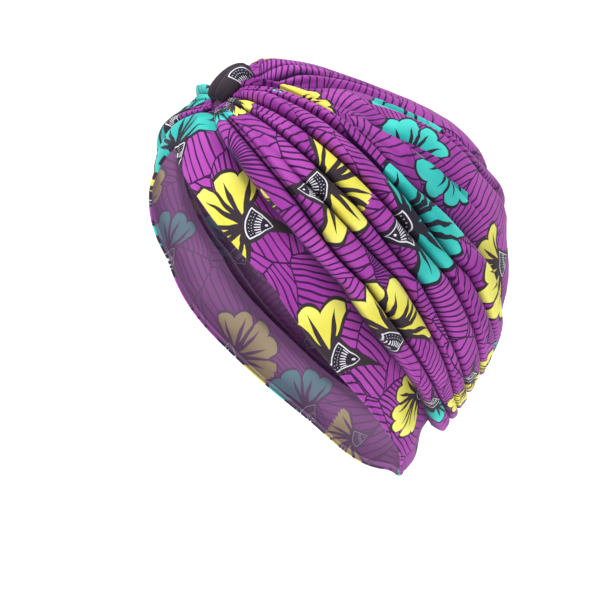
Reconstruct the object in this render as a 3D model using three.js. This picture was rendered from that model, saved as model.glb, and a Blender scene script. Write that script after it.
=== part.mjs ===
// A tied head wrap, ready twisted: a folded hem band, two pleated side drapes, a smooth crown panel
// and a short gathered loop at the centre front. Millimetres, +Z up, the wearer faces -Y and the
// wearer's left is +X. The origin is the middle of the head space, level with the top of the ears.
import * as THREE from 'three';

// ---- driving sizes -------------------------------------------------------------------------
const WALL = 2.0;            // cloth wall: a doubled, gathered jersey
const GAP = 0.6;             // space kept between neighbouring pieces
const TOP_RISE = 123;        // origin to the top of the base form
const LOW_DROP = 200;        // scale of the lower half, which the hem cuts off at the nape
const KNOT_LIFT = 60;        // direction of the knot above the horizon, degrees
const KNOT_OPEN = 6;         // the folds stop this many degrees short of the knot's middle
const FOLD_FILL = 0.58;      // fold height over fold width
const FOLD_CROWD = 0.20;     // and how much more where the folds crowd towards the nape
const FOLD_MAX = 9.5;        // highest fold
const BAND_LIFT = 0.2;       // outer face of the band over the base form, less its wall
const SEAM_HALF = 0.35;      // half the gap where the two drapes meet at the back
const INSET = -5.5;          // inner face of the cloth, from the outer form below
const BAND_FULL = 7.0;       // how far the hem edge stands out beyond the tucked edge of the band
const FRONT_SWELL = 3.5;     // how far the gathers stand out beside the knot
const CROWN_DIP = 3.2;       // how far the crown dips behind the knot
const CROWN_END = 18.4;      // direction of the crown's back tip above the horizon, degrees

// Base form: a stack of level ovals. level is sin(latitude); half is the half length front to back,
// mid is how far back the oval's middle lies, slim is width over length.
const SECTIONS = [
  { level: -0.8, half: 36.8, mid: -9.0, slim: 0.84 },
  { level: -0.5, half: 78.0, mid: -5.3, slim: 0.82 },
  { level: -0.2, half: 105.4, mid: -2.5, slim: 0.79 },
  { level: 0.1, half: 108.9, mid: -2.5, slim: 0.775 },
  { level: 0.4, half: 112.7, mid: -4.6, slim: 0.77 },
  { level: 0.7, half: 109.8, mid: -15.8, slim: 0.78 },
  { level: 1.0, half: 63.5, mid: -46.2, slim: 0.80 },
];

// Fold lines of the left side, lowest first. az is the direction round the head (0 front, 90 the
// wearer's left, 180 back) and el the direction above the horizon, in degrees, at five stations from
// the knot to the back seam. from and to say between which stations (0 to 1) the groove is deep.
const STATIONS = [0, 0.2, 0.45, 0.72, 1];
const FOLDS = [
  { name: 'hem', az: [0, 22, 57, 115, 180], el: [38, 22.5, -6.1, -33.0, -39.5], from: 0, to: 1 },
  { name: 'roll_1', az: [4.2, 44, 73, 109, 180], el: [54.4, 26.2, -2.4, -21.7, -29], from: 0, to: 1 },
  { name: 'roll_2', az: [6.7, 51, 72, 104, 180], el: [55.3, 29.6, 4.9, -16.6, -27], from: 0, to: 1 },
  { name: 'roll_3', az: [9, 62, 89, 121, 180], el: [56.6, 26, 0.5, -19.6, -25], from: 0.16, to: 1 },
  { name: 'roll_4', az: [10.6, 67, 92, 120, 180], el: [58.3, 30.7, 3.3, -16, -22.5], from: 0, to: 1 },
  { name: 'roll_5', az: [11.6, 74, 96, 126, 180], el: [60.3, 33.2, 10.1, -12.7, -20], from: 0, to: 1 },
  { name: 'roll_6', az: [11.4, 73, 101, 132, 180], el: [62.4, 45.5, 12.7, -9.6, -17.5], from: 0, to: 1 },
  { name: 'roll_7', az: [9.4, 84, 98, 138, 180], el: [64.2, 44.8, 24.9, -5.7, -14], from: 0, to: 1 },
  { name: 'crown', az: [5.6, 71, 119, 140, 180], el: [65.4, 61.7, 57, 34.2, 18], from: 0, to: 1 },
];

// Shallow pleats of the crown beside its middle line: place is the share of the way from the crown's
// edge to the middle line, tall their height at the knot, gone the station where they fade out.
const CROWN_PLEATS = [
  { place: 0.30, wide: 0.22, tall: 3.2, gone: 0.55 },
  { place: 0.68, wide: 0.26, tall: 1.6, gone: 0.45 },
];

const ALONG = 22;            // mesh steps along a fold
const ACROSS = 4;            // mesh steps across one fold

// ---- small functions -----------------------------------------------------------------------
const rad = Math.PI / 180;
const clamp = (x, lo, hi) => Math.min(hi, Math.max(lo, x));
const smooth = (a, b, x) => { const t = clamp((x - a) / (b - a), 0, 1); return t * t * (3 - 2 * t); };
const dirOf = (az, el) => new THREE.Vector3(
  Math.cos(el * rad) * Math.sin(az * rad), -Math.cos(el * rad) * Math.cos(az * rad), Math.sin(el * rad));

// Smooth curve through rows of values at given knots (Hermite with central slopes).
// mirror gives the signs of the row past the last one, where the curve runs on into its mirror image.
function curve(knots, rows, v, mirror = null) {
  const n = knots.length;
  const slope = (i, k) => {
    if (mirror && i === n - 1) return (mirror[k] * rows[i - 1][k] - rows[i - 1][k]) / (2 * (knots[i] - knots[i - 1]));
    if (i > 0 && i < n - 1) return (rows[i + 1][k] - rows[i - 1][k]) / (knots[i + 1] - knots[i - 1]);
    const a = i === 0 ? 0 : n - 2;
    const chord = (rows[a + 1][k] - rows[a][k]) / (knots[a + 1] - knots[a]);
    return 2 * chord - slope(i === 0 ? 1 : n - 2, k);
  };
  let i = 0;
  while (i < n - 2 && v > knots[i + 1]) i++;
  const h = knots[i + 1] - knots[i], t = (v - knots[i]) / h;
  const a = 2 * t ** 3 - 3 * t ** 2 + 1, b = (t ** 3 - 2 * t ** 2 + t) * h;
  const c = -2 * t ** 3 + 3 * t ** 2, d = (t ** 3 - t ** 2) * h;
  return rows[i].map((_, k) => a * rows[i][k] + b * slope(i, k) + c * rows[i + 1][k] + d * slope(i + 1, k));
}

const levels = SECTIONS.map((s) => s.level);
const ovals = SECTIONS.map((s) => [s.half, s.mid, s.slim]);
// A point of the base form in the direction n, moved outward by `out`.
function basePoint(n, out = 0) {
  const at = (m) => {
    const [half, mid, slim] = curve(levels, ovals, clamp(m.z, -0.8, 1));
    return new THREE.Vector3(half * slim * m.x, mid + half * m.y, (m.z >= 0 ? TOP_RISE : LOW_DROP) * m.z);
  };
  const p = at(n);
  // outward: the normal of the oval stack, softened towards the ray from its middle
  const tx = new THREE.Vector3(0, 0, 1).cross(n);
  if (tx.lengthSq() < 1e-6) tx.set(1, 0, 0);
  tx.normalize();
  const ty = n.clone().cross(tx).normalize();
  const e = 0.01;
  const du = at(n.clone().addScaledVector(tx, e).normalize()).sub(at(n.clone().addScaledVector(tx, -e).normalize()));
  const dv = at(n.clone().addScaledVector(ty, e).normalize()).sub(at(n.clone().addScaledVector(ty, -e).normalize()));
  const normal = du.cross(dv).normalize();
  if (normal.dot(n) < 0) normal.negate();
  return p.addScaledVector(normal, out + INSET);
}

const foldDirs = FOLDS.map((f) => f.az.map((az, i) => dirOf(az, f.el[i]).toArray()));
// Direction of fold line k at station v.
const onFold = (k, v) => new THREE.Vector3(...curve(STATIONS, foldDirs[k], v, [-1, 1, 1])).normalize();
const depthOf = (k, v) => {
  const f = FOLDS[k];
  return (f.from > 0 ? smooth(f.from - 0.08, f.from + 0.1, v) : 1) * (f.to < 1 ? 1 - smooth(f.to - 0.1, f.to, v) : 1);
};
// Direction at share s between fold lines k and k + 1.
const between = (k, s, v) => onFold(k, v).lerp(onFold(k + 1, v), s).normalize();
const foldWidth = (k, v) => basePoint(onFold(k, v)).distanceTo(basePoint(onFold(k + 1, v)));
const foldHeight = (k, v) => Math.min(FOLD_MAX, (FOLD_FILL + FOLD_CROWD * smooth(0.55, 0.85, v)) * foldWidth(k, v)) * (0.55 + 0.45 * smooth(0, 0.12, v)) * (1 - 0.15 * smooth(0.9, 1, v));

// Height of the drape over its grooves at fold k, share s.
function drapeLift(k, s, v) {
  const last = FOLDS.length - 2;
  const c = 2 * s - 1;
  const near = c < 0 ? k - 1 : k + 1;
  const own = foldHeight(k, v);
  const next = near < 1 || near > last ? own : foldHeight(near, v);
  const h = own + (next - own) * Math.abs(c) * 0.5;
  const groove = c < 0 ? depthOf(k, v) : depthOf(k + 1, v);
  const wide = k === last ? 0.75 : 1;           // the broad top fold is a gentle swell
  const round = Math.sqrt(Math.max(0, 1 - Math.abs(c) ** (k === last ? 4 : 2)));
  const across = (k - 1 + s) / last;            // 0 at the drape's lower edge, 1 at its upper edge
  const swell = FRONT_SWELL * smooth(0.03, 0.10, v) * (1 - smooth(0.16, 0.40, v)) * smooth(0, 0.12, across) * (1 - smooth(0.45, 1, across));
  return h * wide * (1 - groove * (1 - round)) + swell;
}

// ---- closed walls --------------------------------------------------------------------------
// A wall from a grid of outer points and a grid of inner points. wrap joins the last column to the first.
function wall(outer, inner, wrap = false) {
  const nu = outer.length, nv = outer[0].length, pos = [], idx = [];
  for (const g of [outer, inner]) for (let i = 0; i < nu; i++) for (let j = 0; j < nv; j++) pos.push(...g[i][j].toArray());
  const o = (i, j) => i * nv + (j % nv), q = (i, j) => nu * nv + o(i, j);
  const quad = (a, b, c, d) => idx.push(a, b, c, a, c, d);
  const lastJ = wrap ? nv : nv - 1;
  for (let i = 0; i < nu - 1; i++) for (let j = 0; j < lastJ; j++) {
    quad(o(i, j), o(i, j + 1), o(i + 1, j + 1), o(i + 1, j));
    quad(q(i, j), q(i + 1, j), q(i + 1, j + 1), q(i, j + 1));
  }
  for (let j = 0; j < lastJ; j++) {
    quad(o(0, j + 1), o(0, j), q(0, j), q(0, j + 1));
    quad(o(nu - 1, j), o(nu - 1, j + 1), q(nu - 1, j + 1), q(nu - 1, j));
  }
  if (!wrap) for (let i = 0; i < nu - 1; i++) {
    quad(o(i, 0), o(i + 1, 0), q(i + 1, 0), q(i, 0));
    quad(o(i + 1, nv - 1), o(i, nv - 1), q(i, nv - 1), q(i + 1, nv - 1));
  }
  const geo = new THREE.BufferGeometry();
  geo.setAttribute('position', new THREE.Float32BufferAttribute(pos, 3));
  geo.setIndex(idx);
  return facingOut(geo);
}

// Turns the triangles round if the enclosed volume comes out negative.
function facingOut(geo) {
  const p = geo.attributes.position, ix = geo.index.array;
  const v = (i) => new THREE.Vector3().fromBufferAttribute(p, i);
  let vol = 0;
  for (let t = 0; t < ix.length; t += 3) vol += v(ix[t]).dot(v(ix[t + 1]).cross(v(ix[t + 2])));
  if (vol < 0) for (let t = 0; t < ix.length; t += 3) [ix[t + 1], ix[t + 2]] = [ix[t + 2], ix[t + 1]];
  geo.computeVertexNormals();
  return geo;
}

const mirrored = (geo) => {
  const g = geo.clone(), p = g.attributes.position;
  for (let i = 0; i < p.count; i++) p.setX(i, -p.getX(i));
  return facingOut(g);
};

const steps = (n) => Array.from({ length: n + 1 }, (_, i) => i / n);

// ---- hem band: a closed ring, its top edge tucked under the first fold ------------------------
function bandGeometry() {
  const across = steps(4), ring = [];
  for (const v of steps(28)) ring.push([v, 1]);
  for (const v of steps(28).reverse().slice(1, -1)) ring.push([v, -1]);
  const outer = [], inner = [];
  for (const s of across) {
    const a = [], b = [];
    for (const [v, side] of ring) {
      const tuck = 0.35 * smooth(0.02, 0.15, v) * (1 - 0.6 * smooth(0.85, 1, v));
      const u = s * (0.96 + tuck);
      let n = u <= 1 ? between(0, u, v) : onFold(1, v).lerp(onFold(2, v), (u - 1)).normalize();
      if (v === 0 || v === 1) n.x = 0;
      n.normalize();
      const full = BAND_FULL * (1 - smooth(0.3 + 0.2 * (1 - smooth(0.1, 0.35, v)), 0.92, u));   // full further up beside the knot
      const p = basePoint(n, BAND_LIFT + WALL + full), q = basePoint(n, BAND_LIFT + full);
      p.x *= side; q.x *= side;
      a.push(p); b.push(q);
    }
    outer.push(a); inner.push(b);
  }
  return wall(outer, inner, true);
}

// ---- side drape: rounded folds from the knot to the back seam ---------------------------------
const DRAPE_LOW = BAND_LIFT + WALL + GAP;      // inner face of a groove, clear of the band
function drapeGeometry() {
  const outer = [], inner = [];
  const first = 1, last = FOLDS.length - 2;
  for (let k = first; k <= last; k++) for (let a = 0; a < ACROSS * (k === last ? 2 : 1) + (k === last ? 1 : 0); a++) {
    const s = a / (ACROSS * (k === last ? 2 : 1));
    const o = [], q = [];
    for (const v of steps(ALONG)) {
      const n = between(k, s, v);
      const lift = drapeLift(k, s, v);
      const edge = k === last && s > 0.9 ? 0 : 1;
      const p = basePoint(n, DRAPE_LOW + WALL + lift * edge), r = basePoint(n, DRAPE_LOW + lift * edge);
      for (const w of [p, r]) if (v > 0.98 || w.x < SEAM_HALF) w.x = Math.max(w.x, SEAM_HALF);
      o.push(p); q.push(r);
    }
    outer.push(o); inner.push(q);
  }
  return wall(outer, inner);
}

// ---- crown panel: from one drape's top edge over the head to the other ------------------------
function crownGeometry() {
  const outer = [], inner = [];
  const top = FOLDS.length - 1;
  const n2 = 8;
  for (let i = -n2; i <= n2; i++) {
    const side = Math.sign(i) || 1, u = 1 - Math.abs(i) / n2;   // 0 at the edge, 1 on the middle line
    const o = [], q = [];
    for (const v of steps(ALONG)) {
      const edge = onFold(top, v * 0.995);
      const back = KNOT_LIFT + KNOT_OPEN + (180 - KNOT_LIFT - KNOT_OPEN - CROWN_END) * v;
      const mid = new THREE.Vector3(0, -Math.cos(back * rad), Math.sin(back * rad));
      // swings on the sphere from the edge line to the middle line
      const w = Math.acos(clamp(edge.dot(mid), -1, 1));
      const u2 = u + (1 - u) * 0.06 * (1 - smooth(0.12, 0.3, v));   // narrower where it is gathered
      const n = w < 1e-4 ? mid.clone() : edge.clone().multiplyScalar(Math.sin((1 - u2) * w) / Math.sin(w)).addScaledVector(mid, Math.sin(u2 * w) / Math.sin(w));
      n.normalize();
      let lift = 3.0 * Math.sqrt(smooth(0, 0.35, u)) * smooth(0.12, 0.35, v) * (1 - smooth(0.85, 1, v));
      for (const c of CROWN_PLEATS) {
        const d = (u - c.place) / (c.wide / 2);
        lift += c.tall * Math.exp(-d * d) * (0.1 + 0.9 * smooth(0.12, 0.3, v)) * (1 - smooth(0.1, c.gone, v));
      }
      lift -= CROWN_DIP * smooth(0, 0.1, v) * (1 - smooth(0.22, 0.5, v)) * smooth(0, 0.25, u);
      // over the drape's edge the crown rests on it
      const rest = DRAPE_LOW + (WALL + GAP) * smooth(0.15, 0.3, v);
      const p = basePoint(n, rest + WALL + lift), r = basePoint(n, rest + lift);
      p.x *= side; r.x *= side;
      if (i === 0) { p.x = 0; r.x = 0; }
      o.push(p); q.push(r);
    }
    outer.push(o); inner.push(q);
  }
  return wall(outer, inner);
}

// ---- knot loop: an arched strip over the gathered middle --------------------------------------
const LOOP_HALF = 14;        // half its width at the middle
const LOOP_FROM = 57;        // directions of its front and back ends on the middle line, degrees
const LOOP_TO = 80;
const LOOP_FOOT = 6.6;       // lift of its underside at the ends and edges
const LOOP_RISE = 8.6;       // and at the middle
const LOOP_LEAN = 2.2;       // how much lower its back end lies than its front
function loopGeometry() {
  const outer = [], inner = [];
  for (const s of steps(8)) {
    const c = 2 * s - 1, o = [], q = [];
    for (const t of steps(12)) {
      const el = LOOP_FROM + (LOOP_TO - LOOP_FROM) * t;
      const arch = Math.sin(Math.PI * clamp(t, 0, 1)) ** 0.6;
      const half = LOOP_HALF * (0.55 + 0.45 * arch);
      const n = new THREE.Vector3(0, -Math.cos(el * rad), Math.sin(el * rad));
      const lift = LOOP_FOOT + (LOOP_RISE - LOOP_FOOT) * arch * Math.sqrt(1 - c * c) - LOOP_LEAN * smooth(0.35, 1, t);
      const side = c * half / 84;
      const m = n.clone().multiplyScalar(Math.cos(side)).add(new THREE.Vector3(Math.sin(side), 0, 0)).normalize();
      const p = basePoint(m, lift + WALL), r = basePoint(m, lift);
      o.push(p); q.push(r);
    }
    outer.push(o); inner.push(q);
  }
  return wall(outer, inner);
}

// ---- the assembly ----------------------------------------------------------------------------
const cloth = (hex) => new THREE.MeshStandardMaterial({ color: hex, roughness: 0.85, metalness: 0, side: THREE.DoubleSide });
const group = new THREE.Group();
const add = (name, geo, hex) => { const m = new THREE.Mesh(geo, cloth(hex)); m.name = name; group.add(m); };
const drape = drapeGeometry();
add('hem_band', bandGeometry(), 0xb040b4);
add('left_drape', drape, 0xa83aae);
add('right_drape', mirrored(drape), 0xa83aae);
add('crown_panel', crownGeometry(), 0xb848bc);
add('knot_loop', loopGeometry(), 0x3a3a52);

export default group;
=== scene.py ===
# A tied head wrap: finely folded printed jersey around the fixed frame of solids.
import bpy
import math
import numpy as np
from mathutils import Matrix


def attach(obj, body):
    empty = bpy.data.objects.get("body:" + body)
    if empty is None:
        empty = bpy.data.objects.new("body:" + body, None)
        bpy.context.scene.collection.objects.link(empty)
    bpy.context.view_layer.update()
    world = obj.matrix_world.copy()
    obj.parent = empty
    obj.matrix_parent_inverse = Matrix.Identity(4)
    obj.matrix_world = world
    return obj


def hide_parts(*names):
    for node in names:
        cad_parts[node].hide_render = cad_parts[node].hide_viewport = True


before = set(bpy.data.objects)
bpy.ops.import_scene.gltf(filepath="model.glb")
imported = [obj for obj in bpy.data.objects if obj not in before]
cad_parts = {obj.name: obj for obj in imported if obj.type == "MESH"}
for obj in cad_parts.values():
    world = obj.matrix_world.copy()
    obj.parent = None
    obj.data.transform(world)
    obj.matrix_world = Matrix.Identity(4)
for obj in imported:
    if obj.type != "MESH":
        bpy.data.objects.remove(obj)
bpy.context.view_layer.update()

# ---- sizes, in millimetres, the same as the solids' -------------------------------------------
WALL, GAP = 2.0, 0.6
TOP_RISE, LOW_DROP = 123.0, 200.0
KNOT_LIFT, KNOT_OPEN = 60.0, 6.0
FOLD_FILL, FOLD_CROWD, FOLD_MAX = 0.58, 0.20, 9.5
BAND_LIFT, BAND_FULL, FRONT_SWELL, CROWN_DIP, INSET = 0.2, 7.0, 3.5, 3.2, -5.5
DRAPE_LOW = BAND_LIFT + WALL + GAP
# level, half length, middle, width over length
SECTIONS = np.array([
    (-0.8, 36.8, -9.0, 0.84), (-0.5, 78.0, -5.3, 0.82), (-0.2, 105.4, -2.5, 0.79), (0.1, 108.9, -2.5, 0.775),
    (0.4, 112.7, -4.6, 0.77), (0.7, 109.8, -15.8, 0.78), (1.0, 63.5, -46.2, 0.80)])
STATIONS = np.array([0, 0.2, 0.45, 0.72, 1.0])
FOLDS = [  # name, directions round the head, directions above the horizon, where the groove starts
    ("hem", (0, 22, 57, 115, 180), (38, 22.5, -6.1, -33.0, -39.5), 0),
    ("roll_1", (4.2, 44, 73, 109, 180), (54.4, 26.2, -2.4, -21.7, -29), 0),
    ("roll_2", (6.7, 51, 72, 104, 180), (55.3, 29.6, 4.9, -16.6, -27), 0),
    ("roll_3", (9, 62, 89, 121, 180), (56.6, 26, 0.5, -19.6, -25), 0.16),
    ("roll_4", (10.6, 67, 92, 120, 180), (58.3, 30.7, 3.3, -16, -22.5), 0),
    ("roll_5", (11.6, 74, 96, 126, 180), (60.3, 33.2, 10.1, -12.7, -20), 0),
    ("roll_6", (11.4, 73, 101, 132, 180), (62.4, 45.5, 12.7, -9.6, -17.5), 0),
    ("roll_7", (9.4, 84, 98, 138, 180), (64.2, 44.8, 24.9, -5.7, -14), 0),
    ("crown", (5.6, 71, 119, 140, 180), (65.4, 61.7, 57, 34.2, 18), 0),
]
RAD = math.pi / 180


def smooth(a, b, x):
    t = np.clip((np.asarray(x, float) - a) / (b - a), 0, 1)
    return t * t * (3 - 2 * t)


def dir_of(az, el):
    az, el = np.asarray(az, float) * RAD, np.asarray(el, float) * RAD
    return np.stack([np.cos(el) * np.sin(az), -np.cos(el) * np.cos(az), np.sin(el)], -1)


def unit(a):
    return a / np.maximum(np.linalg.norm(a, axis=-1, keepdims=True), 1e-12)


def curve(knots, rows, v, mirror=None):
    v = np.asarray(v, float)
    n = len(knots)
    t = np.zeros_like(rows)
    t[1:-1] = (rows[2:] - rows[:-2]) / (knots[2:] - knots[:-2])[:, None]
    t[0] = 2 * (rows[1] - rows[0]) / (knots[1] - knots[0]) - t[1]
    t[-1] = 2 * (rows[-1] - rows[-2]) / (knots[-1] - knots[-2]) - t[-2]
    if mirror is not None:
        t[-1] = (np.array(mirror) - 1) * rows[-2] / (2 * (knots[-1] - knots[-2]))
    i = np.clip(np.searchsorted(knots, v, "right") - 1, 0, n - 2)
    h = knots[i + 1] - knots[i]
    s = ((v - knots[i]) / h)[..., None]
    h = h[..., None]
    return ((2 * s**3 - 3 * s**2 + 1) * rows[i] + (s**3 - 2 * s**2 + s) * h * t[i]
            + (-2 * s**3 + 3 * s**2) * rows[i + 1] + (s**3 - s**2) * h * t[i + 1])


def form(n):
    w = curve(SECTIONS[:, 0], SECTIONS[:, 1:], np.clip(n[..., 2], -0.8, 1))
    z = np.where(n[..., 2] >= 0, TOP_RISE, LOW_DROP) * n[..., 2]
    return np.stack([w[..., 0] * w[..., 2] * n[..., 0], w[..., 1] + w[..., 0] * n[..., 1], z], -1)


def form_normal(n):
    tx = np.cross(np.broadcast_to([0, 0, 1.0], n.shape), n)
    bad = np.linalg.norm(tx, axis=-1) < 1e-3
    tx[bad] = (1, 0, 0)
    tx = unit(tx)
    ty = unit(np.cross(n, tx))
    e = 0.01
    du = form(unit(n + e * tx)) - form(unit(n - e * tx))
    dv = form(unit(n + e * ty)) - form(unit(n - e * ty))
    m = unit(np.cross(du, dv))
    return m * np.sign((m * n).sum(-1, keepdims=True))


def base(n, out):
    return form(n) + form_normal(n) * (np.asarray(out) + INSET)[..., None]


FOLD_DIRS = [dir_of(f[1], f[2]) for f in FOLDS]
LAST = len(FOLDS) - 2


def on_fold(k, v):
    return unit(curve(STATIONS, FOLD_DIRS[k], v, (-1, 1, 1)))


def depth_of(k, v):
    f = FOLDS[k][3]
    return smooth(f - 0.08, f + 0.1, v) if f > 0 else np.ones_like(v)


def fold_height(k, v):
    w = np.linalg.norm(form(on_fold(k, v)) - form(on_fold(k + 1, v)), axis=-1)
    return np.minimum(FOLD_MAX, (FOLD_FILL + FOLD_CROWD * smooth(0.55, 0.85, v)) * w) * (0.55 + 0.45 * smooth(0, 0.12, v)) * (1 - 0.15 * smooth(0.9, 1, v)), w


def waves(p, size, seed, octaves=2):
    """A smooth, repeatable wobble of the points p, about -1 to 1, with bumps about `size` wide."""
    r = np.random.default_rng(seed)
    out = 0
    for o in range(octaves):
        for _ in range(6):
            d = r.normal(size=3)
            d /= np.linalg.norm(d)
            out = out + np.sin(p @ d * (2 * math.pi / size * 2**o * r.uniform(0.7, 1.3)) + r.uniform(0, 6.3)) / 2**o
    return out / (6 * 0.9)


# Extra creases inside a fold: cell, share across at the start and end, stations from and to, depth, share wide
CREASES = [
    (2, 0.42, 0.12, 0.03, 0.40, 4.0, 0.16),
    (7, 0.80, 0.86, 0.00, 0.34, 3.2, 0.07),
    (7, 0.52, 0.60, 0.04, 0.42, 1.6, 0.10),
    (7, 0.24, 0.20, 0.05, 0.55, 1.4, 0.12),
    (7, 0.80, 0.62, 0.42, 1.00, 2.6, 0.07),
    (7, 0.47, 0.28, 0.33, 0.64, 3.2, 0.07),
    (6, 0.55, 0.60, 0.02, 0.30, 1.2, 0.18),
    (4, 0.50, 0.55, 0.02, 0.26, 1.0, 0.20),
    (5, 0.45, 0.50, 0.55, 0.90, 0.9, 0.20),
    (3, 0.55, 0.50, 0.50, 0.85, 0.8, 0.20),
    (1, 0.60, 0.50, 0.30, 0.70, 0.7, 0.22),
]


def drape_lift(k, s, v, p):
    c = 2 * s - 1
    own, _ = fold_height(k, v)
    near = np.where(c < 0, k - 1, k + 1)
    low = fold_height(max(k - 1, 1), v)[0]
    high = fold_height(min(k + 1, LAST), v)[0]
    nxt = np.where(near < k, low, high)
    h = own + (nxt - own) * np.abs(c) * 0.5
    groove = np.where(c < 0, depth_of(k, v), depth_of(k + 1, v))
    wide = 0.75 if k == LAST else 1.0
    if k == LAST:
        rnd = np.sqrt(np.maximum(0, 1 - np.abs(c) ** 4))
    else:
        crowd = smooth(0.5, 0.75, v)
        rnd = np.maximum(0, 1 - np.abs(c) ** (2.1 + 1.2 * crowd)) ** (0.68 - 0.16 * crowd)
        groove = groove * (1 - 0.30 * crowd)
    at = (k - 1 + s) / LAST
    swell = FRONT_SWELL * smooth(0.03, 0.10, v) * (1 - smooth(0.16, 0.40, v)) * smooth(0, 0.12, at) * (1 - smooth(0.45, 1, at))
    return h * wide * (1 - groove * (1 - rnd)), swell


def seam_pull(v):
    return 1 - 0.85 * smooth(0.965, 1.0, v)


# ---- meshes ------------------------------------------------------------------------------------
class Sheet:
    """A closed wall from a grid of outer points and one of inner points, with a rounded rim on each free edge.

    cloth holds for each grid point: mm across, mm along, its direction on the form (3), painted shade for how deep
    in a fold it is, and which fold it belongs to."""

    def __init__(self, name, outer, inner, cloth, wrap=False):
        nu, nv = outer.shape[:2]
        self.name, self.half = name, nu * nv
        width = cloth.shape[-1]
        gu, gv = np.meshgrid(np.linspace(0, 1, nu), np.linspace(0, 1, nv), indexing="ij")
        grid_uv = np.stack([gv * 0.97 + 0.01, gu], -1).reshape(-1, 2)
        pts = [outer.reshape(-1, 3), inner.reshape(-1, 3)]
        cls = [cloth.reshape(-1, width)] * 2
        uvs = [grid_uv] * 2
        sides = [np.zeros(nu * nv), np.ones(nu * nv)]
        both, both_c, both_uv = np.concatenate(pts), np.concatenate(cls), np.concatenate(uvs)
        idx = np.arange(nu * nv).reshape(nu, nv)
        if wrap:
            idx = np.concatenate([idx, idx[:, :1]], 1)
        idx2 = idx + nu * nv
        faces, part = [], []
        count = 2 * nu * nv

        def quads(g, flip, tag):
            q = np.stack([g[:-1, :-1], g[:-1, 1:], g[1:, 1:], g[1:, :-1]], -1).reshape(-1, 4)
            faces.append(q[:, ::-1] if flip else q)
            part.append(np.full(len(q), tag))

        quads(idx, False, 0)
        quads(idx2, True, 1)

        def rim(a, b, away, flip, tag, shut):
            """Half round from points a to points b; shut says the row is a ring."""
            nonlocal count
            aa, bb = (a[:-1], b[:-1]) if shut else (a, b)
            mid, half = (both[aa] + both[bb]) / 2, (both[aa] - both[bb]) / 2
            r = np.linalg.norm(half, axis=-1, keepdims=True)
            rows = [a]
            for ang in (45, 90, 135):
                pts.append(mid + half * math.cos(ang * RAD) + away * r * math.sin(ang * RAD) * 0.9)
                cls.append(both_c[aa])
                uvs.append(both_uv[aa] * (1, 0) + (0, 1.02 + 0.01 * ang / 45 if tag == 3 else 1.07))
                sides.append(np.full(len(aa), 0.5))
                ids = count + np.arange(len(aa))
                count += len(aa)
                rows.append(np.r_[ids, ids[0]] if shut else ids)
            rows.append(b)
            quads(np.stack(rows), flip, tag)
            return np.stack(rows)

        lo = unit(outer[0] - outer[1])
        hi = unit(outer[-1] - outer[-2])
        g_lo = rim(idx[0], idx2[0], lo, True, 2, wrap)
        g_hi = rim(idx[-1], idx2[-1], hi, False, 3, wrap)
        ends = []
        if not wrap:
            for col, flip in ((0, False), (-1, True)):
                quads(np.stack([idx[:, col], idx2[:, col]]), flip, 4)
                for gg, f2 in ((g_lo, flip), (g_hi, not flip)):
                    ring = [int(i) for i in gg[:, col]]
                    ends.append(ring if f2 else ring[::-1])
        self.points, self.cloth = np.concatenate(pts), np.concatenate(cls)
        self.side, self.grid_uv = np.concatenate(sides), np.concatenate(uvs)
        self.faces, self.part, self.ends = np.concatenate(faces), np.concatenate(part), ends

    def build(self, mirror=False):
        p = self.points * ((-1, 1, 1) if mirror else (1, 1, 1))
        main = self.faces[:, ::-1] if mirror else self.faces
        ends = [e[::-1] if mirror else e for e in self.ends]
        me = bpy.data.meshes.new(self.name)
        loops = np.concatenate([main.ravel()] + [np.array(e) for e in ends]).astype(np.int32)
        sizes = np.concatenate([np.full(len(main), 4), [len(e) for e in ends]]).astype(np.int32)
        me.vertices.add(len(p))
        me.vertices.foreach_set("co", (p * 0.001).ravel().astype(np.float32))
        me.loops.add(len(loops))
        me.loops.foreach_set("vertex_index", loops)
        me.polygons.add(len(sizes))
        me.polygons.foreach_set("loop_start", np.r_[0, np.cumsum(sizes)[:-1]].astype(np.int32))
        me.polygons.foreach_set("use_smooth", np.ones(len(sizes), bool))
        me.update(calc_edges=True)
        if me.validate(verbose=False):
            print(self.name, "had faces that needed mending")
        v = p
        vol = sum((v[main[:, 0]] * np.cross(v[main[:, i]], v[main[:, i + 1]])).sum() for i in (1, 2))
        if vol < 0:
            me.flip_normals()
        ob = bpy.data.objects.new(self.name, me)
        bpy.context.collection.objects.link(ob)
        return ob

    def back_faces(self, me, first, vi):
        """True for each corner whose face is on the reverse."""
        total = np.diff(np.r_[first, len(vi)])
        side = self.side[vi]
        least = np.minimum.reduceat(side, first)
        return np.repeat(least > 0.9, total)


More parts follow.
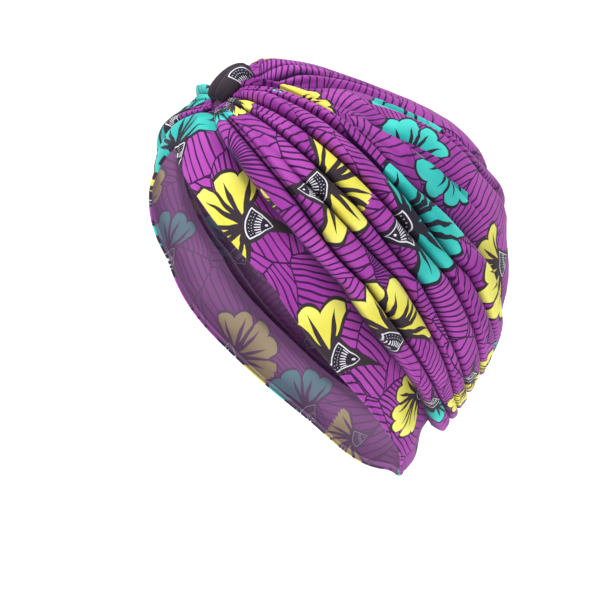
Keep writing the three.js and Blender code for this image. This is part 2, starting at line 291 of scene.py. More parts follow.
# ---- the print: where its flowers lie -------------------------------------------------------------
# direction of the flower's heart, which way it points (degrees from east, turning north), reach in mm,
# colour (0 yellow, 1 turquoise, 2 dark), half spread of its petals in degrees, first and last fold it shows on
# (0 band, 8 crown, 9 loop; a part after the point is a share of the way across), how much it is gathered along its own axis
FLOWERS = [
    (40.6, 17.0, 177, 34, 0, 97, 0, 0, 1), (67.5, -11.9, 172, 36, 0, 97, 0, 0, 1), (65.8, 26.7, 9, 34, 0, 98, 2, 4, 1),
    (91.6, 15.2, 20, 38, 1, 100, 4, 6, 1), (142, 51, -100, 40, 1, 112, 7.63, 8.06, 1.3), (101.1, 34, 91, 28, 1, 100, 7.36, 7.62, 1.25),
    (116.5, 31.2, -156, 27, 1, 100, 7.0, 7.31, 1.1), (137, 1.0, -160, 31, 0, 92, 6, 7, 1), (85.6, -7.8, 80, 30, 0, 90, 1, 2, 1),
    (108.8, -21.4, -144, 24, 0, 88, 0, 0, 1), (110.4, -21.3, -51, 18, 1, 90, 1, 1, 1), (129, -18.1, -49, 22, 0, 90, 2, 4, 1),
    (147.3, -15.9, 179, 20, 0, 85, 4, 5, 1), (2, 36.5, 135, 30, 1, 90, 0, 0, 1), (13, 51.7, -6, 16, 1, 70, 1, 2, 1),
    (22.7, 56.5, -36, 19, 0, 45, 3, 4, 1), (65, 52, 83, 24, 0, 112, 7.0, 7.88, 1.7), (64.7, 4.7, 131, 21, 1, 70, 0.80, 0.95, 1),
    (53.2, 22.1, 160, 16, 0, 50, 1.0, 1.28, 1), (52.6, 53.6, 110, 8, 1, 100, 6.5, 6.95, 1), (16, 70.5, 160, 29, 2, 176, 9, 9, 1),
    (152.4, 0, 0, 14, 1, 90, 6, 7, 1), (148.9, -13.3, -106, 12, 1, 90, 6, 6, 1),
    # the side away from the picture, and the back
    (-24, 19, 90, 22, 0, 100, 0, 0, 1), (-48, 2, 60, 27, 1, 97, 0, 0, 1), (-76, -18, 170, 29, 0, 97, 0, 0, 1),
    (-106, -29, 60, 25, 1, 97, 0, 0, 1), (-137, -35, -20, 22, 0, 97, 0, 0, 1), (146, -34, -10, 22, 1, 97, 0, 0, 1),
    (-30, 45, 160, 28, 1, 98, 1, 5, 1), (-55, 22, -40, 30, 0, 98, 1, 5, 1), (-84, 0, 60, 30, 1, 98, 1, 5, 1),
    (-88, 42, 150, 32, 1, 100, 5, 7, 1), (-115, 18, -10, 32, 0, 98, 4, 7, 1), (-112, -16, 150, 26, 0, 98, 1, 5, 1),
    (-132, 45, -100, 30, 1, 98, 7, 7, 1), (-142, 11, 100, 30, 0, 98, 6, 7, 1), (-144, -15, 20, 23, 1, 98, 1, 7, 1),
    (178, 34, -60, 28, 1, 98, 7, 8, 1), (-171, -10, 130, 26, 0, 98, 1, 7, 1), (168, -20, -150, 22, 1, 98, 1, 6, 1),
    (-168, 62, 20, 16, 0, 98, 8, 8, 1), (-100, 70, 40, 20, 0, 98, 8, 8, 1),
]


FL = np.array(FLOWERS, float)
FL_DIR = dir_of(FL[:, 0], FL[:, 1])
FL_POINT, FL_NORMAL = form(FL_DIR), form_normal(FL_DIR)
FL_EAST = dir_of(FL[:, 0] + 90, np.zeros(len(FL)))
FL_EAST = unit(FL_EAST - (FL_EAST * FL_NORMAL).sum(-1, keepdims=True) * FL_NORMAL)
FL_NORTH = np.cross(FL_NORMAL, FL_EAST)
FL_NORTH *= np.sign(FL_NORTH[:, 2:3] + 1e-9)


def nearest_flower(n, cell):
    """The flower whose reach comes nearest to each direction n on the form, of those its fold may show."""
    q, m = form(n), form_normal(n)
    best, pick = np.full(len(q), 1e9), np.zeros(len(q), int)
    for i in range(len(FL)):
        dist = np.linalg.norm(q - FL_POINT[i], axis=-1) - 1.1 * FL[i, 3] + 60
        dist = np.where((m @ FL_NORMAL[i]) > -0.1, dist, 1e9)
        dist = np.where((cell >= FL[i, 6]) & (cell <= FL[i, 7] + (FL[i, 7] % 1 == 0) * 0.95), dist, dist + 400)
        take = dist < best
        best[take], pick[take] = dist[take], i
    return pick


def in_flower(n, i):
    """x, y of each direction n in flower i's own reaches, unrolled on its plane."""
    d = form(n) - FL_POINT[i]
    dist = np.linalg.norm(d, axis=-1)
    x, y = (d * FL_EAST[i]).sum(-1), (d * FL_NORTH[i]).sum(-1)
    r = np.maximum(np.hypot(x, y), 1e-6)
    x, y, t = x / r * dist, y / r * dist, FL[i, 2] * RAD
    return np.stack([(x * np.cos(t) + y * np.sin(t)) * FL[i, 8], -x * np.sin(t) + y * np.cos(t)], -1) / FL[i, 3][:, None]


# ---- materials -------------------------------------------------------------------------------------
class X:
    """A value in a node tree, with arithmetic."""

    def __init__(self, tree, sock):
        self.t, self.s = tree, sock

    def op(self, kind, *others, clamp=False):
        n = self.t.nodes.new("ShaderNodeMath")
        n.operation = kind
        n.use_clamp = clamp
        for i, o in enumerate((self,) + others):
            if isinstance(o, X):
                self.t.links.new(o.s, n.inputs[i])
            else:
                n.inputs[i].default_value = float(o)
        return X(self.t, n.outputs[0])

    def __add__(self, o): return self.op("ADD", o)
    def __radd__(self, o): return self.op("ADD", o)
    def __sub__(self, o): return self.op("SUBTRACT", o)
    def __rsub__(self, o): return (self * -1.0) + o
    def __mul__(self, o): return self.op("MULTIPLY", o)
    def __rmul__(self, o): return self.op("MULTIPLY", o)
    def __truediv__(self, o): return self.op("DIVIDE", o)
    def abs(self): return self.op("ABSOLUTE")
    def sin(self): return self.op("SINE")
    def cos(self): return self.op("COSINE")
    def sqrt(self): return self.op("SQRT")
    def frac(self): return self.op("FRACT")
    def less(self, o): return self.op("LESS_THAN", o)
    def more(self, o): return self.op("GREATER_THAN", o)
    def min(self, o): return self.op("MINIMUM", o)
    def max(self, o): return self.op("MAXIMUM", o)
    def pow(self, o): return self.op("POWER", o)
    def atan2(self, o): return self.op("ARCTAN2", o)

    def step(self, a, b):
        """0 below a, 1 above b."""
        n = self.t.nodes.new("ShaderNodeMapRange")
        n.interpolation_type = "SMOOTHSTEP"
        self.t.links.new(self.s, n.inputs["Value"])
        for name, v in (("From Min", a), ("From Max", b), ("To Min", 0), ("To Max", 1)):
            if isinstance(v, X):
                self.t.links.new(v.s, n.inputs[name])
            else:
                n.inputs[name].default_value = v
        return X(self.t, n.outputs["Result"])


def attribute(tree, name):
    n = tree.nodes.new("ShaderNodeAttribute")
    n.attribute_name = name
    sep = tree.nodes.new("ShaderNodeSeparateXYZ")
    tree.links.new(n.outputs["Vector"], sep.inputs[0])
    return n.outputs["Vector"], [X(tree, o) for o in sep.outputs]


def srgb(r, g, b):
    f = lambda c: c / 12.92 if c <= 0.04045 else ((c + 0.055) / 1.055) ** 2.4
    return (f(r / 255), f(g / 255), f(b / 255), 1)


def mix(tree, factor, a, b):
    """Colour a where the factor is 0 and b where it is 1."""
    n = tree.nodes.new("ShaderNodeMix")
    n.data_type = "RGBA"
    if isinstance(factor, X):
        tree.links.new(factor.s, n.inputs[0])
    else:
        n.inputs[0].default_value = factor
    for sock, c in ((n.inputs[6], a), (n.inputs[7], b)):
        if isinstance(c, tuple):
            sock.default_value = c
        else:
            tree.links.new(c, sock)
    return n.outputs[2]


def shaded(tree, colour, by):
    """The colour multiplied by another."""
    n = tree.nodes.new("ShaderNodeMix")
    n.data_type = "RGBA"
    n.blend_type = "MULTIPLY"
    n.inputs[0].default_value = 1.0
    tree.links.new(colour, n.inputs[6])
    n.inputs[7].default_value = by
    return n.outputs[2]


PURPLE, PURPLE_LIT = srgb(156, 52, 158), srgb(178, 72, 177)
LINE = srgb(50, 2, 68)
YELLOW, YELLOW_DEEP = srgb(246, 243, 118), srgb(232, 222, 84)
TEAL, TEAL_DEEP = srgb(66, 214, 202), srgb(38, 184, 178)
INK, INK_BLUE, WHITE = srgb(52, 40, 50), srgb(34, 30, 48), srgb(232, 228, 236)


def print_material(name):
    m = bpy.data.materials.new(name)
    m.use_nodes = True
    t = m.node_tree
    t.nodes.clear()
    out = t.nodes.new("ShaderNodeOutputMaterial")
    bsdf = t.nodes.new("ShaderNodeBsdfPrincipled")
    t.links.new(bsdf.outputs[0], out.inputs[0])

    cloth_v, (U, V, B) = attribute(t, "cloth")          # mm across, mm along, 1 on the reverse
    _, (fx0, fy0, kind) = attribute(t, "flower")        # reaches from the nearest flower's heart
    # the petals' spread, and the painted shade of the fold grooves
    _, (spread, painted_shade, _s2) = attribute(t, "spread_and_painted_shade")

    # hand-drawn wobble
    noise = t.nodes.new("ShaderNodeTexNoise")
    noise.inputs["Scale"].default_value = 0.055
    noise.inputs["Detail"].default_value = 1.0
    t.links.new(cloth_v, noise.inputs["Vector"])
    sep = t.nodes.new("ShaderNodeSeparateColor")
    t.links.new(noise.outputs["Color"], sep.inputs[0])
    nx, ny = X(t, sep.outputs[0]) - 0.5, X(t, sep.outputs[1]) - 0.5
    fx, fy = fx0 + nx * 0.16, fy0 + ny * 0.16

    # --- flower, in reaches: heart at 0, fan's point at (-0.42, 0), three broad petals towards +x and round the sides
    r = (fx * fx + fy * fy).sqrt()
    th = fy.atan2(fx) + (r - 0.4) * 0.16
    petal = spread * (RAD * 2 / 3)
    idx = (th / petal + 0.5).op("FLOOR")
    tl = th - idx * petal                               # angle from the petal's middle
    u = tl / petal                                      # -0.5 to 0.5 across the petal
    lobe = (u * (2 * math.pi)).sin().abs().pow(0.55) * 0.17
    notch = (u.abs() - 0.5) * (1 / 0.10)
    notch = (1.0 - notch * notch).max(0.0) * 0.10
    tall = (idx * 2.1 + kind * 1.3 + 0.4 + u * 2.0).sin() * 0.07
    edge = lobe + 0.83 - notch + tall
    on_petals = th.abs().less(spread * RAD)
    inside = r.less(edge - 0.02) * on_petals
    rim = r.less(edge + 0.05) * th.abs().less(spread * RAD + 0.06)
    # dark strokes between the petals, out to the edge, and a pointed sliver up the middle of each lobe
    gap = (r * ((0.5 - u.abs()) * petal).sin()).less((r * -0.045 + 0.062).max(0.016))
    sliver = (r * (((u.abs() - 0.25).abs()) * petal).sin()).less(((0.80 - r) * 0.14).min(0.040)) * r.less(0.80)

    # --- fan and its dark surround, seen from the fan's point
    ax = fx + 0.42
    ra = (ax * ax + fy * fy).sqrt()
    ta = fy.atan2(ax)
    beside = ra * (ta.abs() - 0.62).sin()
    rays = ((ta * 11.0 + 0.6).cos() * 0.5 + 0.5).pow(2.0) * 0.05
    dark = ra.less(rays + 0.535) * beside.less(0.065) * ta.abs().less(1.8)
    fan = ra.less(0.47) * ta.abs().less(0.64)
    side_line = (ra * ((ta.abs() - 0.60).abs()).sin()).less(0.0105) * ra.less(0.458)
    arc_line = (ra - 0.450).abs().less(0.0105) * ta.abs().less(0.61)
    spoke = (((ta / 0.16) + 0.5).frac() - 0.5).abs()
    dashes = (spoke * 0.16 * ra).less(0.0085) * ra.more(0.21) * ra.less(0.31) * ta.abs().less(0.50)
    spoke2 = (((ta / 0.13)).frac() - 0.5).abs()
    dots = (spoke2 * 0.13 * ra).less(0.0065) * ((ra - 0.355).abs()).less(0.0065) * ta.abs().less(0.5)
    dots2 = (spoke * 0.16 * ra).less(0.0065) * ((ra - 0.400).abs()).less(0.0065) * ta.abs().less(0.5)
    seed = ((ra - 0.12) * (ra - 0.12) * 0.5 + (ta * ra) * (ta * ra)).less(0.00032)
    white = (side_line + arc_line + dashes + dots + dots2 + seed).min(1.0) * fan

    # --- stem: a curved taper from the fan's point, away from the petals
    back = fx * -1.0 - 0.36
    bend = fy - back * back * 0.5
    stem = bend.abs().less(back * -0.17 + 0.11) * back.more(0.0) * back.less(0.62)

    # --- ground: panels of fine lines that fan from far or near points
    def voronoi(feature, scale, vec):
        n = t.nodes.new("ShaderNodeTexVoronoi")
        n.voronoi_dimensions = "2D"
        n.feature = feature
        n.inputs["Scale"].default_value = scale
        n.inputs["Randomness"].default_value = 1.0
        t.links.new(vec, n.inputs["Vector"])
        return n

    cell = voronoi("F1", 1 / 50, cloth_v)
    rimcell = voronoi("DISTANCE_TO_EDGE", 1 / 50, cloth_v)
    pos = t.nodes.new("ShaderNodeSeparateXYZ")
    t.links.new(cell.outputs["Position"], pos.inputs[0])
    col = t.nodes.new("ShaderNodeSeparateColor")
    t.links.new(cell.outputs["Color"], col.inputs[0])
    ca, cb, cc = (X(t, s) for s in col.outputs)
    px, py = X(t, pos.outputs[0]) * 1.0, X(t, pos.outputs[1]) * 1.0
    turn = (ca - 0.5) * 1.2                            # panel's line direction, about the fold's cross direction
    far = cb * 150 + cc.more(0.8) * -25 + 38
    qx = U - px + turn.cos() * far
    qy = V - py + turn.sin() * far
    ang = (qy + ny * 3.0).atan2(qx + nx * 3.0)
    count = (far * 1.55).max(24.0).op("ROUND")           # lines a turn, so they lie about 4 mm apart
    dist = (qx * qx + qy * qy).sqrt()
    f = ((ang / (2 * math.pi) * count).frac() - 0.5).abs()   # 0.5 on a line
    gap_mm = dist * (2 * math.pi) / count
    line = (f * gap_mm * -1.0 + gap_mm * 0.5).less(nx * 0.3 + 0.54)
    border = X(t, rimcell.outputs["Distance"]).less(0.010)
    lines = (line + border).min(1.0)

    # --- colours
    wide = t.nodes.new("ShaderNodeTexNoise")
    wide.inputs["Scale"].default_value = 0.02
    wide.inputs["Detail"].default_value = 2.0
    t.links.new(cloth_v, wide.inputs["Vector"])
    tone = X(t, wide.outputs["Fac"]).step(0.35, 0.65)
    ground = mix(t, tone, PURPLE, PURPLE_LIT)
    ground = mix(t, lines * 0.97, ground, LINE)
    petal_far = r.step(0.45, 1.0)
    yellow = mix(t, petal_far, YELLOW_DEEP, YELLOW)
    teal = mix(t, petal_far, TEAL_DEEP, TEAL)
    is_teal = kind.more(0.5) * kind.less(1.5)
    is_dark = kind.more(1.5)
    flower_c = mix(t, is_teal, yellow, teal)
    flower_c = mix(t, is_dark, flower_c, INK)
    ink = mix(t, is_teal, INK, INK_BLUE)
    colour = mix(t, (rim + stem).min(1.0), ground, ink)
    colour = mix(t, inside, colour, flower_c)
    colour = mix(t, (gap + sliver).min(1.0) * inside, colour, ink)
    colour = mix(t, dark, colour, ink)
    colour = mix(t, fan, colour, INK_BLUE)
    colour = mix(t, white, colour, WHITE)
    # painted shade: the colour darkens where the cloth turns into the folds' grooves, to near black at the deepest
    colour = mix(t, painted_shade, colour, shaded(t, colour, (0.15, 0.055, 0.25, 1)))
    colour = mix(t, painted_shade.step(0.55, 0.95), colour, srgb(38, 6, 52))
    # reverse: the print shows through, paler and greyer
    reverse = mix(t, 0.55, colour, srgb(176, 140, 182))
    colour = mix(t, B.more(0.75), colour, reverse)
    t.links.new(colour, bsdf.inputs["Base Color"])

    # --- jersey: fine ribs of knit loops and a little fuzz
    wale = (U * (2 * math.pi / 0.9)).sin()
    course = (V * (2 * math.pi / 0.7) + (U * (2 * math.pi / 0.9)).cos() * 0.9).sin()
    knit = wale * 0.5 + course * 0.4
    fuzz = t.nodes.new("ShaderNodeTexNoise")
    fuzz.inputs["Scale"].default_value = 1.6
    fuzz.inputs["Detail"].default_value = 3.0
    t.links.new(cloth_v, fuzz.inputs["Vector"])
    height = knit * 0.35 + X(t, fuzz.outputs["Fac"]) * 0.6
    bump = t.nodes.new("ShaderNodeBump")
    bump.inputs["Strength"].default_value = 0.22
    bump.inputs["Distance"].default_value = 0.0002
    t.links.new(height.s, bump.inputs["Height"])
    t.links.new(bump.outputs[0], bsdf.inputs["Normal"])
    rough = X(t, fuzz.outputs["Fac"]) * 0.12 + 0.66
    t.links.new(rough.s, bsdf.inputs["Roughness"])
    bsdf.inputs["Specular IOR Level"].default_value = 0.3
    bsdf.inputs["Sheen Weight"].default_value = 0.08
    bsdf.inputs["Sheen Roughness"].default_value = 0.45
    bsdf.inputs["Sheen Tint"].default_value = (0.9, 0.7, 0.95, 1)
    return m


def dress(ob, sheet, mirror, mat):
    """Gives the mesh its print attributes, its bake map and its material."""
    me = ob.data
    nl, npoly = len(me.loops), len(me.polygons)
    vi, total = np.zeros(nl, np.int32), np.zeros(npoly, np.int32)
    me.loops.foreach_get("vertex_index", vi)
    me.polygons.foreach_get("loop_total", total)
    first = np.r_[0, np.cumsum(total)[:-1]]
    poly = np.repeat(np.arange(npoly), total)
    dirs = sheet.cloth[:, 2:5] * ((-1, 1, 1) if mirror else (1, 1, 1))
    pick = nearest_flower(dirs, sheet.cloth[:, 6])
    face_pick = pick[vi[first]]                     # all of a face's corners read one flower
    fi = face_pick[poly]
    xy = in_flower(dirs[vi], fi)
    side, cl = sheet.side[vi], sheet.cloth[vi]
    rows = {
        "cloth": np.stack([cl[:, 0] + (900 if mirror else 0), cl[:, 1], (side > 0.75).astype(float)], -1),
        "flower": np.stack([xy[:, 0], xy[:, 1], FL[fi, 4]], -1),
        # the petals' spread, and the painted shade of the fold grooves
        "spread_and_painted_shade": np.stack([FL[fi, 5], cl[:, 5], cl[:, 5] * 0], -1),
    }
    for name, data in rows.items():
        a = me.attributes.new(name, "FLOAT_VECTOR", "CORNER")
        a.data.foreach_set("vector", data.astype(np.float32).ravel())
    # bake map: outer face below, reverse above, rims beside
    uv = me.uv_layers.new(name="OFBake")
    co = sheet.grid_uv[vi].copy()
    back = sheet.back_faces(me, first, vi)
    co[:, 1] = co[:, 1] * 0.46 + 0.01
    co[back, 1] += 0.5
    uv.data.foreach_set("uv", co.astype(np.float32).ravel())
    me.materials.append(mat)


# ---- the pieces --------------------------------------------------------------------------------------
def along(grid):
    """Running distance along the second axis of a grid of points."""
    d = np.linalg.norm(np.diff(grid, axis=1), axis=-1)
    return np.concatenate([np.zeros((grid.shape[0], 1)), np.cumsum(d, 1)], 1)


def across(grid):
    d = np.linalg.norm(np.diff(grid, axis=0), axis=-1)
    return np.concatenate([np.zeros((1, grid.shape[1])), np.cumsum(d, 0)], 0)


def between(k, s, v):
    a, b = on_fold(k, v), on_fold(k + 1, v)
    return unit(a + (b - a) * s[..., None])


def stations(n, ends=0.35):
    """n + 1 stations from 0 to 1, closer together near the ends."""
    t = np.linspace(0, 1, n + 1)
    return t * (1 - ends) + (0.5 - 0.5 * np.cos(np.pi * t)) * ends


def crease(s, v, row):
    """Depth in mm of one crease line at share s, station v."""
    _, s0, s1, v0, v1, deep, wide = row
    t = np.clip((v - v0) / (v1 - v0), 0, 1)
    at = s0 + (s1 - s0) * t
    fade = smooth(0, 0.12, t) * (1 - smooth(0.75, 1, t)) if v0 > 0.01 else 1 - smooth(0.7, 1, t)
    d = np.abs(s - at) / (wide / 2)
    return deep * fade * np.exp(-(d ** 1.5)) * ((v >= v0) & (v <= v1))


def knot_dive(v):
    """How far the cloth turns in under the knot."""
    return -4.0 * (1 - smooth(0.0, 0.055, v))


def make_drape(name):
    V = stations(226)
    outs, inns, dirs, painted_shades, hid, cells = [], [], [], [], [], []
    for k in range(1, LAST + 1):
        n = 56 if k == LAST else 20
        ss = np.linspace(0, 1, n + 1)
        ss = ss * 0.6 + (0.5 - 0.5 * np.cos(np.pi * ss)) * 0.4
        for s in ss if k == LAST else ss[:-1]:
            s_a = np.full_like(V, s)
            own, w = fold_height(k, V)
            deep = (depth_of(k, V) + depth_of(k + 1, V)) / 2
            wide = k == LAST
            push = (0.02 if wide else 0.05) * deep
            lean = (0.0 if wide else 0.13) * deep
            sl = s_a - push * np.sin(2 * np.pi * s_a) - lean * np.sin(np.pi * s_a) ** 2
            n_dir = between(k, s_a, V)
            n_pos = between(k, sl, V)
            q = form(n_dir)
            lift, swell = drape_lift(k, s_a, V, q)
            body = np.sin(np.pi * s_a) ** 0.5
            lift = lift * (1.28 - 0.26 * smooth(0.55, 0.8, V) + 0.14 * waves(q, 62, 11 + k)) if not wide else lift * (1.05 + 0.13 * waves(q, 62, 11 + k))
            for row in CREASES:
                if row[0] == k:
                    lift = lift - crease(s_a, V, row)
            fine = np.stack([q[..., 0] * 0.0 + s_a * w + k * 40, V * 34, q[..., 0] * 0], -1)
            near = 1 - smooth(0.08, 0.4, V)
            lift = lift + body * (0.30 + 0.75 * near) * waves(fine, 9.5, 5, 2) * smooth(0.0, 0.03, V)
            lift = lift + body * 0.35 * waves(q, 24, 77)
            if wide:
                lift = lift + body * 1.2 * waves(q, 55, 21)
            lift = np.maximum(lift, -0.4) * seam_pull(V)
            off = DRAPE_LOW + lift + swell + knot_dive(V)
            nor = form_normal(n_pos)
            f = form(n_pos)
            p = f + nor * (off + WALL + INSET)[:, None]
            r = f + nor * (off + 0.5 + INSET)[:, None]
            for g in (p, r):
                g[:, 0] = np.maximum(g[:, 0], 0.03)
            # painted shade: darker the further the cloth sinks below its fold's crest into the grooves
            groove_painted_shade = np.clip(1 - lift / np.maximum(own * (0.75 if wide else 1), 1), 0, 1) ** 0.95
            outs.append(p); inns.append(r); dirs.append(n_pos); painted_shades.append(groove_painted_shade); cells.append(k + 0.9 * s)
            tucked = sum((depth_of(j, V) for j in range(2, k + 1)), np.zeros_like(V))
            hid.append(13.0 * (tucked + 0.5 * smooth(0.93, 1, s) * depth_of(k + 1, V) - 0.5 * (1 - smooth(0, 0.07, s)) * depth_of(k, V)))
    outer, inner, d, painted_shade = (np.stack(a) for a in (outs, inns, dirs, painted_shades))
    b = form(d)
    hidden = np.stack(hid)
    cell = np.broadcast_to(np.array(cells, float)[:, None], painted_shade.shape)
    cloth = np.stack([across(b) + hidden + 60, along(b) + hidden * 0.6, *np.moveaxis(d, -1, 0), painted_shade, cell], -1)
    return Sheet(name, outer, inner, cloth)


def make_band():
    V = stations(150, 0.2)
    ring_v = np.r_[V, V[::-1][1:-1]]
    ring_s = np.r_[np.ones(len(V)), -np.ones(len(V) - 2)]
    rows_u = np.r_[np.linspace(0, 1, 70)]
    outs, inns, dirs, painted_shades = [], [], [], []
    for s in rows_u:
        v = ring_v
        tuck = 0.35 * smooth(0.02, 0.15, v) * (1 - 0.6 * smooth(0.85, 1, v))
        u = s * (0.96 + tuck)
        a = on_fold(0, v)
        b = on_fold(1, v)
        c = on_fold(2, v)
        n = np.where((u <= 1)[:, None], a + (b - a) * u[:, None], b + (c - b) * (u - 1)[:, None])
        ends = (v <= 0) | (v >= 1)
        n[ends, 0] = 0
        n = unit(n)
        q = form(n) * np.stack([ring_s, np.ones_like(v), np.ones_like(v)], -1)
        full = BAND_FULL * (1 - smooth(0.3 + 0.35 * (1 - smooth(0.1, 0.35, v)), 0.95, u))
        pinch = -1.8 * (1 - smooth(0, 0.045, v)) * smooth(-0.2, 0.4, u)
        near = 1 - smooth(0.05, 0.35, v)
        ridge = np.stack([u * 46, v * 50 * ring_s, v * 0], -1)
        wob = 0.7 * waves(q, 58, 31) + 0.25 * waves(q, 21, 32) + near * 0.9 * waves(ridge, 13, 33) * smooth(0.15, 0.6, u)
        edge = 0.35 * np.exp(-((u - 0.02) / 0.03) ** 2) - 0.45 * np.exp(-((u - 0.085) / 0.022) ** 2)
        off = BAND_LIFT + full + pinch + (wob) * smooth(0, 0.05, v) * (1 - smooth(0.8, 0.97, u)) + edge
        nor = form_normal(n)
        f = form(n)
        p = f + nor * (off + WALL + INSET)[:, None]
        r = f + nor * (off + 0.2 + INSET)[:, None]
        for g in (p, r):
            g[:, 0] = np.where(ends, 0, np.maximum(g[:, 0], 0)) * ring_s
        # painted shade: darker at the top edge, where the band goes under the first roll, and in the crease at the
        # front
        band_painted_shade = smooth(0.82, 1.0, u) * 0.5 + 0.35 * (1 - smooth(0, 0.02, v)) * smooth(0.1, 0.5, u)
        m = n.copy()
        m[:, 0] *= ring_s
        outs.append(p); inns.append(r); dirs.append(m); painted_shades.append(np.clip(band_painted_shade, 0, 0.6))
    outer, inner, d, painted_shade = (np.stack(a) for a in (outs, inns, dirs, painted_shades))
    b = form(d)
    al = along(b)
    al = np.where(ring_s[None] > 0, al, -(al[:, -1:] - al))
    # lines run along this cloth, so its two directions change places
    cloth = np.stack([al + 400, across(b), *np.moveaxis(d, -1, 0), painted_shade, np.array(rows_u)[:, None] * 0.9 + painted_shade * 0], -1)
    return Sheet("hem_band_cloth", outer, inner, cloth, wrap=True)


CROWN_PLEATS = [(0.15, 0.14, 4.2, 0.62), (0.42, 0.18, 3.6, 0.58), (0.72, 0.20, 1.8, 0.50)]
CROWN_LINES = [  # share from the edge to the middle at the start and end, stations, depth, share wide
    (0.28, 0.30, 0.02, 0.66, 3.4, 0.055), (0.57, 0.52, 0.02, 0.60, 3.0, 0.05), (0.86, 0.90, 0.02, 0.45, 2.2, 0.05),
    (0.09, 0.10, 0.02, 0.40, 1.6, 0.04),
    (0.26, 0.60, 0.30, 0.78, 0.9, 0.06),
]


def make_crown():
    V = stations(190)
    half = 84
    t = np.linspace(-1, 1, 2 * half + 1)
    outs, inns, dirs, painted_shades = [], [], [], []
    top = len(FOLDS) - 1
    for x in t:
        sd = 1.0 if x >= 0 else -1.0
        u = 1 - abs(x)
        u = u * 0.75 + 0.25 * (1 - math.cos(math.pi / 2 * u))
        e = on_fold(top, V * 0.995)
        lower = on_fold(top - 1, V * 0.995)
        e = unit(e + (lower - e) * (0.035 * (1 - u)))            # a little over the drape's edge
        back = KNOT_LIFT + KNOT_OPEN + (180 - KNOT_LIFT - KNOT_OPEN - 18.4) * V
        mid = np.stack([V * 0, -np.cos(back * RAD), np.sin(back * RAD)], -1)
        w = np.arccos(np.clip((e * mid).sum(-1), -1, 1))
        u2 = u + (1 - u) * 0.03 * (1 - smooth(0.12, 0.3, V))
        n = (np.sin((1 - u2) * w) / np.sin(w))[:, None] * e + (np.sin(u2 * w) / np.sin(w))[:, None] * mid
        n = unit(n)
        q = form(n) * (sd, 1, 1)
        reach = w * 105 * u2                                     # mm in from the edge
        rest = (WALL + GAP) * smooth(0.15, 0.3, V) * smooth(0, 9, reach)
        lift = 3.0 * np.sqrt(smooth(0, 0.30, u2)) * smooth(0.12, 0.35, V) * (1 - smooth(0.85, 1, V))
        for place, wide, tall, gone in CROWN_PLEATS:
            lift = lift + tall * np.exp(-(((u2 - place) / (wide / 2)) ** 2)) * (0.1 + 0.9 * smooth(0.08, 0.26, V)) * (1 - smooth(0.1, gone, V)) * smooth(0, 0.1, u2)
        lift = lift - CROWN_DIP * smooth(0, 0.1, V) * (1 - smooth(0.22, 0.5, V)) * smooth(0, 0.25, u2)
        # line gathers the painted shade in the pleat lines' hollows
        line = 0.0
        for s0, s1, v0, v1, deep, wd in CROWN_LINES:
            tt = np.clip((V - v0) / (v1 - v0), 0, 1)
            at = s0 + (s1 - s0) * tt + 0.01 * math.sin(5 * s0) * sd
            fold = deep * smooth(0, 0.1, tt) * (1 - smooth(0.5, 1, tt)) * ((V > v0) & (V < v1))
            lift = lift - fold * np.exp(-(np.abs(u2 - at) / (wd / 2)) ** 1.6)
            line = np.maximum(line, fold / 3 * np.exp(-(np.abs(u2 - at) / (wd * 0.8)) ** 1.4))
        near = 1 - smooth(0.1, 0.5, V)
        fine = np.stack([u2 * w * 105 + 300 * sd, V * 36, V * 0], -1)
        inner_m = smooth(0, 0.08, u2)
        lift = lift + inner_m * ((0.15 + 0.6 * near) * waves(fine, 11, 44) * smooth(0, 0.04, V) + 1.3 * waves(q, 70, 45) * smooth(0.15, 0.4, V) * (1 - smooth(0.85, 1, V)) + 0.3 * waves(q, 26, 46))
        off = DRAPE_LOW + 0.3 + rest + lift + knot_dive(V)
        nor = form_normal(n)
        f = form(n)
        p = f + nor * (off + WALL + INSET)[:, None]
        r = f + nor * (off + 0.5 + INSET)[:, None]
        m = n.copy()
        for g in (p, r, m):
            g[:, 0] = np.abs(g[:, 0]) * sd if abs(x) > 1e-9 else 0
        outs.append(p); inns.append(r); dirs.append(m)
        # painted shade: darker near the edge where the crown meets the drape, and in the pleat lines
        painted_shades.append(np.maximum((1 - smooth(0, 7, reach)) * 0.75, np.clip(line, 0, 0.85)))
    outer, inner, d, painted_shade = (np.stack(a) for a in (outs, inns, dirs, painted_shades))
    b = form(d)
    cloth = np.stack([across(b) + 300, along(b) + 80, *np.moveaxis(d, -1, 0), painted_shade, 8.9 - np.abs(t)[:, None] * 0.9 + painted_shade * 0], -1)
    return Sheet("crown_panel_cloth", outer, inner, cloth)


LOOP_HALF, LOOP_FROM, LOOP_TO, LOOP_FOOT, LOOP_RISE, LOOP_LEAN = 14.0, 57.0, 80.0, 6.6, 8.6, 2.2


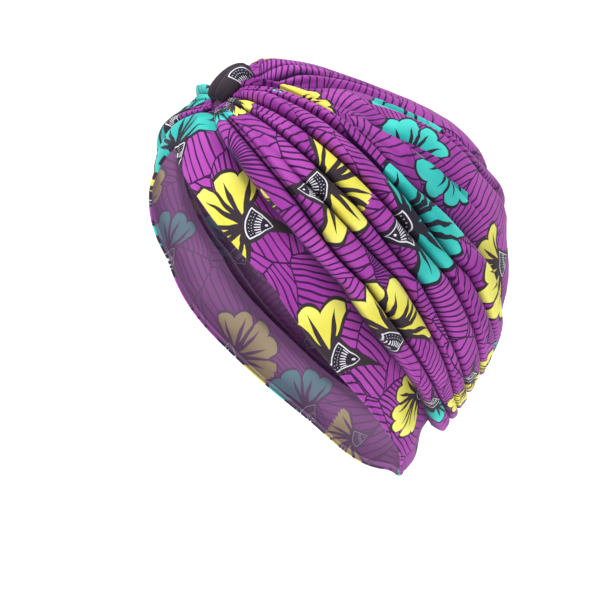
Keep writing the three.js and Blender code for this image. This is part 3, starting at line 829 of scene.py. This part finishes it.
def make_loop():
    T = np.linspace(0, 1, 101)
    outs, inns, dirs, painted_shades = [], [], [], []
    for x in np.linspace(-1, 1, 91):
        el = LOOP_FROM + (LOOP_TO - LOOP_FROM) * T
        arch = np.sin(np.pi * np.clip(T, 0, 1)) ** 0.6
        half = LOOP_HALF * (0.55 + 0.45 * arch)
        n = np.stack([T * 0, -np.cos(el * RAD), np.sin(el * RAD)], -1)
        side = x * half / 84
        m = unit(n * np.cos(side)[:, None] + np.stack([np.sin(side), T * 0, T * 0], -1))
        pleat = (1.1 + 0.8 * (1 - arch)) * np.cos(x * 3.1 * np.pi + 0.6 * np.sin(3 * T) + 0.5) * (0.35 + 0.65 * (1 - arch) ** 0.5)
        lift = LOOP_FOOT + (LOOP_RISE - LOOP_FOOT + 1.2) * arch * math.sqrt(1 - x * x) + pleat * (1 - abs(x) ** 3) - 3.2 * abs(x) ** 4 - 3.0 * (1 - arch) ** 2 - LOOP_LEAN * smooth(0.35, 1, T)
        nor, f = form_normal(m), form(m)
        outs.append(f + nor * (lift + WALL + INSET)[:, None])
        inns.append(f + nor * (lift + 0.4 + INSET)[:, None])
        dirs.append(m)
        # painted shade: darker at the loop's feet and in the pleats' hollows
        painted_shades.append(np.clip(0.4 * (1 - arch) + 0.25 * (pleat < -0.4), 0, 0.6))
    outer, inner, d, painted_shade = (np.stack(a) for a in (outs, inns, dirs, painted_shades))
    b = form(d)
    cloth = np.stack([across(b) + 500, along(b) + 300, *np.moveaxis(d, -1, 0), painted_shade, painted_shade * 0 + 9], -1)
    return Sheet("knot_loop_cloth", outer, inner, cloth)


mat = print_material("printed_jersey")
band, drape, crown, loop = make_band(), make_drape("drape"), make_crown(), make_loop()
pieces = []
for sheet, name, node, slot, mirror in (
        (band, "hem_band_cloth", "hem_band", "band_cloth", False),
        (drape, "left_drape_cloth", "left_drape", "print_cloth", False),
        (drape, "right_drape_cloth", "right_drape", "print_cloth", True),
        (crown, "crown_panel_cloth", "crown_panel", "print_cloth", False),
        (loop, "knot_loop_cloth", "knot_loop", "knot_cloth", False)):
    sheet.name = name
    ob = sheet.build(mirror)
    dress(ob, sheet, mirror, mat)
    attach(ob, "root")
    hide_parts(node)
    pieces.append((ob, sheet))


def area_of(sheet):
    f = sheet.faces[sheet.part == 0]
    p = sheet.points
    a = np.cross(p[f[:, 2]] - p[f[:, 0]], p[f[:, 3]] - p[f[:, 1]])
    return float(np.linalg.norm(a, axis=-1).sum() / 2) * 1e-6


for ob, sheet in pieces:
    print(ob.name, "faces", len(ob.data.polygons), "cloth area m2", round(area_of(sheet), 4))

# ---- camera, floor and light -----------------------------------------------------------------------
AZ, EL, AWAY = 60.66, 8.25, 1.7
a, e = AZ * RAD, EL * RAD
back = np.array([math.sin(a) * math.cos(e), -math.cos(a) * math.cos(e), math.sin(e)])
right = np.array([math.cos(a), math.sin(a), 0.0])
up = np.cross(back, right)
aim = right * -0.018 + up * -0.021
cam_data = bpy.data.cameras.new("camera")
cam_data.lens, cam_data.sensor_width = 170, 36
cam = bpy.data.objects.new("camera", cam_data)
bpy.context.collection.objects.link(cam)
from mathutils import Matrix, Vector
m = Matrix(((right[0], up[0], back[0]), (right[1], up[1], back[1]), (right[2], up[2], back[2]))).to_4x4()
m.translation = Vector(aim + back * AWAY)
cam.matrix_world = m
bpy.context.scene.camera = cam

FLOOR = -0.26
n = 48
prof = [(-2.5, 0.0)] + [(0.9 + 0.9 * math.sin(t), 0.9 - 0.9 * math.cos(t)) for t in np.linspace(0, math.pi / 2, 24)] + [(1.8, 3.2)]
verts, faces = [], []
fwd = -np.array([back[0], back[1], 0]) / np.linalg.norm(back[:2])
for x in (-4.0, 4.0):
    for d, h in prof:
        w = right * x + fwd * d
        verts.append((w[0], w[1], FLOOR + h))
k = len(prof)
faces = [(i, i + 1, k + i + 1, k + i) for i in range(k - 1)]
me = bpy.data.meshes.new("floor")
me.from_pydata(verts, [], faces)
me.polygons.foreach_set("use_smooth", [True] * len(me.polygons))
floor = bpy.data.objects.new("floor", me)
bpy.context.collection.objects.link(floor)
fm = bpy.data.materials.new("pale_floor")
fm.use_nodes = True
fb = fm.node_tree.nodes["Principled BSDF"]
fb.inputs["Base Color"].default_value = (0.93, 0.93, 0.93, 1)
fb.inputs["Roughness"].default_value = 0.9
fb.inputs["Emission Color"].default_value = (1, 1, 1, 1)
fb.inputs["Emission Strength"].default_value = 0.35
me.materials.append(fm)


def area_light(name, az, el, dist, size, power, tint=(1, 1, 1)):
    d = bpy.data.lights.new(name, "AREA")
    d.shape, d.size, d.energy, d.color = "DISK", size, power, tint
    o = bpy.data.objects.new(name, d)
    bpy.context.collection.objects.link(o)
    p = dir_of(az, el)
    o.location = Vector(p * dist)
    o.rotation_euler = Vector(-p).to_track_quat("-Z", "Y").to_euler()


area_light("key", 34, 62, 1.6, 0.6, 21)
area_light("fill", 95, 25, 1.8, 1.2, 5)
area_light("front", -20, 30, 1.8, 1.0, 5)
area_light("rim", 190, 55, 1.7, 0.8, 5)
world = bpy.data.worlds.new("world")
world.use_nodes = True
world.node_tree.nodes["Background"].inputs[0].default_value = (1, 1, 1, 1)
world.node_tree.nodes["Background"].inputs[1].default_value = 0.25
bpy.context.scene.world = world
bpy.context.scene.view_settings.view_transform = "Standard"
